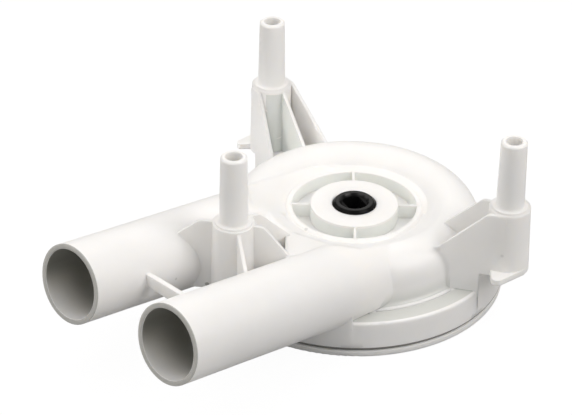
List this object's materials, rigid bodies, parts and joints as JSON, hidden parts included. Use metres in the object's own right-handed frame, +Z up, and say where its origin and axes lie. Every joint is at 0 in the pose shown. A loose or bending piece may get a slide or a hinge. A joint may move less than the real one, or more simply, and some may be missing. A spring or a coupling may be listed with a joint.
{
  "type": "washing machine drain pump",
  "caption": "White plastic drain pump with a round pump chamber, a pair of parallel hose tubes tied by a web, upright mounting posts with fins, and a black hub that takes the motor's shaft",
  "frame": {"origin": "On the pump's axis of turning, level with the underside of the base cover", "axes": "+Z up along the axis of turning, +X along the tubes from their open ends towards the pump chamber, +Y across the tubes"},
  "size_m": [0.2031, 0.1627, 0.0863],
  "materials": {
    "white_moulding": "satin moulded polypropylene",
    "grey_moulding": "satin moulded polypropylene",
    "black_moulding": "glossy moulded nylon",
    "seal_steel": "drawn stainless steel",
    "seal_ceramic": "lapped white ceramic",
    "seal_rubber": "moulded black rubber",
    "seal_carbon": "lapped carbon filled face ring"
  },
  "bodies": {
    "housing": {"pump_housing": "white_moulding", "base_cover": "white_moulding", "seal_case": "seal_steel", "carbon_ring": "seal_carbon", "seal_bellows": "seal_rubber", "seal_spring": "seal_steel"},
    "rotor": {"impeller": "grey_moulding", "drive_hub": "black_moulding", "ceramic_ring": "seal_ceramic", "ceramic_cup": "seal_rubber"}
  },
  "joints": [
    {"name": "rotor_spin", "type": "hinge", "parent": "housing", "child": "rotor", "pos_m": [0, 0, 0.0215], "axis": [0, 0, 1], "continuous": true}
  ]
}
